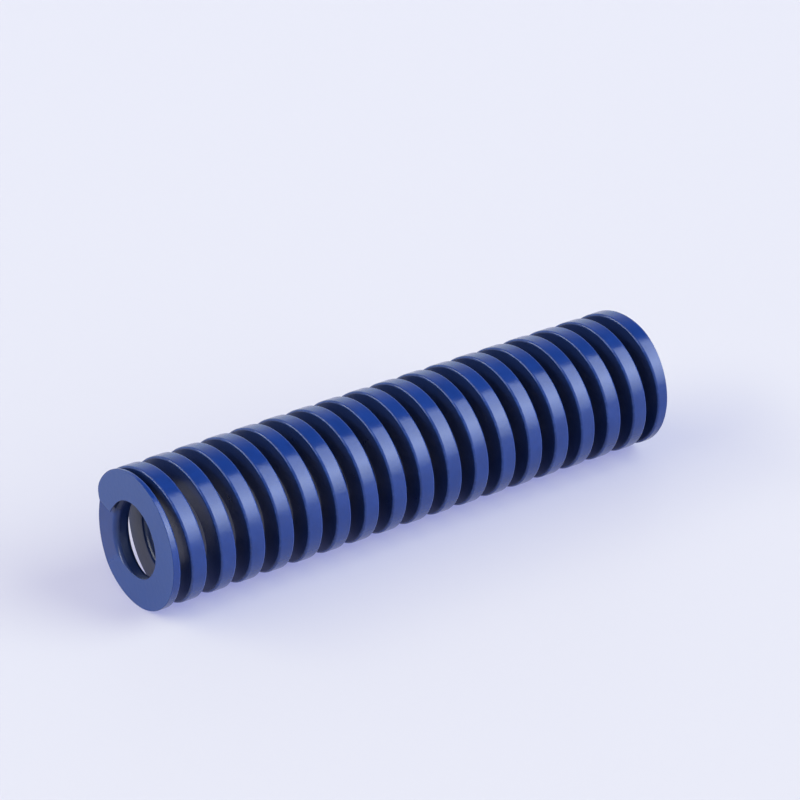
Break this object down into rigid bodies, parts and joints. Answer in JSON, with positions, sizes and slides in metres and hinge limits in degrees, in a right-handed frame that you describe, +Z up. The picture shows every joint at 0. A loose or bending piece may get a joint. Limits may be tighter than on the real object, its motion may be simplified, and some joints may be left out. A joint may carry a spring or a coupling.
{
  "type": "coil spring",
  "caption": "Rectangular-wire compression spring, right-hand wound, with closed and ground ends; blue enamel; its turns close up along the axis.",
  "frame": {"origin": "on the surface that the spring lies on, below the middle of its free length", "axes": "+X along the spring's axis from the front end to the rear end, +Z up"},
  "size_m": [0.102, 0.0242, 0.0243],
  "materials": {
    "blue_enamel": "gloss enamel over spring steel"
  },
  "bodies": {
    "front_end_coil": {"front_end_coil": "blue_enamel"},
    "coil_01": {"coil_01": "blue_enamel"},
    "coil_02": {"coil_02": "blue_enamel"},
    "coil_03": {"coil_03": "blue_enamel"},
    "coil_04": {"coil_04": "blue_enamel"},
    "coil_05": {"coil_05": "blue_enamel"},
    "coil_06": {"coil_06": "blue_enamel"},
    "coil_07": {"coil_07": "blue_enamel"},
    "coil_08": {"coil_08": "blue_enamel"},
    "coil_09": {"coil_09": "blue_enamel"},
    "coil_10": {"coil_10": "blue_enamel"},
    "coil_11": {"coil_11": "blue_enamel"},
    "coil_12": {"coil_12": "blue_enamel"},
    "coil_13": {"coil_13": "blue_enamel"},
    "coil_14": {"coil_14": "blue_enamel"},
    "coil_15": {"coil_15": "blue_enamel"},
    "coil_16": {"coil_16": "blue_enamel"},
    "coil_17": {"coil_17": "blue_enamel"},
    "rear_end_coil": {"rear_end_coil": "blue_enamel"}
  },
  "joints": [
    {"name": "coil_17_slide", "type": "slide", "parent": "rear_end_coil", "child": "coil_17", "axis": [1, 0, 0], "range_m": [0, 0.00046], "stiffness_N_per_m": 2480000},
    {"name": "coil_16_slide", "type": "slide", "parent": "coil_17", "child": "coil_16", "axis": [1, 0, 0], "range_m": [0, 0.0023], "stiffness_N_per_m": 496000},
    {"name": "coil_15_slide", "type": "slide", "parent": "coil_16", "child": "coil_15", "axis": [1, 0, 0], "range_m": [0, 0.0023], "stiffness_N_per_m": 496000},
    {"name": "coil_14_slide", "type": "slide", "parent": "coil_15", "child": "coil_14", "axis": [1, 0, 0], "range_m": [0, 0.0023], "stiffness_N_per_m": 496000},
    {"name": "coil_13_slide", "type": "slide", "parent": "coil_14", "child": "coil_13", "axis": [1, 0, 0], "range_m": [0, 0.0023], "stiffness_N_per_m": 496000},
    {"name": "coil_12_slide", "type": "slide", "parent": "coil_13", "child": "coil_12", "axis": [1, 0, 0], "range_m": [0, 0.0023], "stiffness_N_per_m": 496000},
    {"name": "coil_11_slide", "type": "slide", "parent": "coil_12", "child": "coil_11", "axis": [1, 0, 0], "range_m": [0, 0.0023], "stiffness_N_per_m": 496000},
    {"name": "coil_10_slide", "type": "slide", "parent": "coil_11", "child": "coil_10", "axis": [1, 0, 0], "range_m": [0, 0.0023], "stiffness_N_per_m": 496000},
    {"name": "coil_09_slide", "type": "slide", "parent": "coil_10", "child": "coil_09", "axis": [1, 0, 0], "range_m": [0, 0.0023], "stiffness_N_per_m": 496000},
    {"name": "coil_08_slide", "type": "slide", "parent": "coil_09", "child": "coil_08", "axis": [1, 0, 0], "range_m": [0, 0.0023], "stiffness_N_per_m": 496000},
    {"name": "coil_07_slide", "type": "slide", "parent": "coil_08", "child": "coil_07", "axis": [1, 0, 0], "range_m": [0, 0.0023], "stiffness_N_per_m": 496000},
    {"name": "coil_06_slide", "type": "slide", "parent": "coil_07", "child": "coil_06", "axis": [1, 0, 0], "range_m": [0, 0.0023], "stiffness_N_per_m": 496000},
    {"name": "coil_05_slide", "type": "slide", "parent": "coil_06", "child": "coil_05", "axis": [1, 0, 0], "range_m": [0, 0.0023], "stiffness_N_per_m": 496000},
    {"name": "coil_04_slide", "type": "slide", "parent": "coil_05", "child": "coil_04", "axis": [1, 0, 0], "range_m": [0, 0.0023], "stiffness_N_per_m": 496000},
    {"name": "coil_03_slide", "type": "slide", "parent": "coil_04", "child": "coil_03", "axis": [1, 0, 0], "range_m": [0, 0.0023], "stiffness_N_per_m": 496000},
    {"name": "coil_02_slide", "type": "slide", "parent": "coil_03", "child": "coil_02", "axis": [1, 0, 0], "range_m": [0, 0.0023], "stiffness_N_per_m": 496000},
    {"name": "coil_01_slide", "type": "slide", "parent": "coil_02", "child": "coil_01", "axis": [1, 0, 0], "range_m": [0, 0.0023], "stiffness_N_per_m": 496000},
    {"name": "front_end_coil_slide", "type": "slide", "parent": "coil_01", "child": "front_end_coil", "axis": [1, 0, 0], "range_m": [0, 0.00046], "stiffness_N_per_m": 2480000}
  ],
  "couplings": [
    {"joint": "coil_17_slide", "follows": "coil_16_slide", "ratio": 0.2},
    {"joint": "coil_15_slide", "follows": "coil_16_slide", "ratio": 1},
    {"joint": "coil_14_slide", "follows": "coil_16_slide", "ratio": 1},
    {"joint": "coil_13_slide", "follows": "coil_16_slide", "ratio": 1},
    {"joint": "coil_12_slide", "follows": "coil_16_slide", "ratio": 1},
    {"joint": "coil_11_slide", "follows": "coil_16_slide", "ratio": 1},
    {"joint": "coil_10_slide", "follows": "coil_16_slide", "ratio": 1},
    {"joint": "coil_09_slide", "follows": "coil_16_slide", "ratio": 1},
    {"joint": "coil_08_slide", "follows": "coil_16_slide", "ratio": 1},
    {"joint": "coil_07_slide", "follows": "coil_16_slide", "ratio": 1},
    {"joint": "coil_06_slide", "follows": "coil_16_slide", "ratio": 1},
    {"joint": "coil_05_slide", "follows": "coil_16_slide", "ratio": 1},
    {"joint": "coil_04_slide", "follows": "coil_16_slide", "ratio": 1},
    {"joint": "coil_03_slide", "follows": "coil_16_slide", "ratio": 1},
    {"joint": "coil_02_slide", "follows": "coil_16_slide", "ratio": 1},
    {"joint": "coil_01_slide", "follows": "coil_16_slide", "ratio": 1},
    {"joint": "front_end_coil_slide", "follows": "coil_16_slide", "ratio": 0.2}
  ]
}
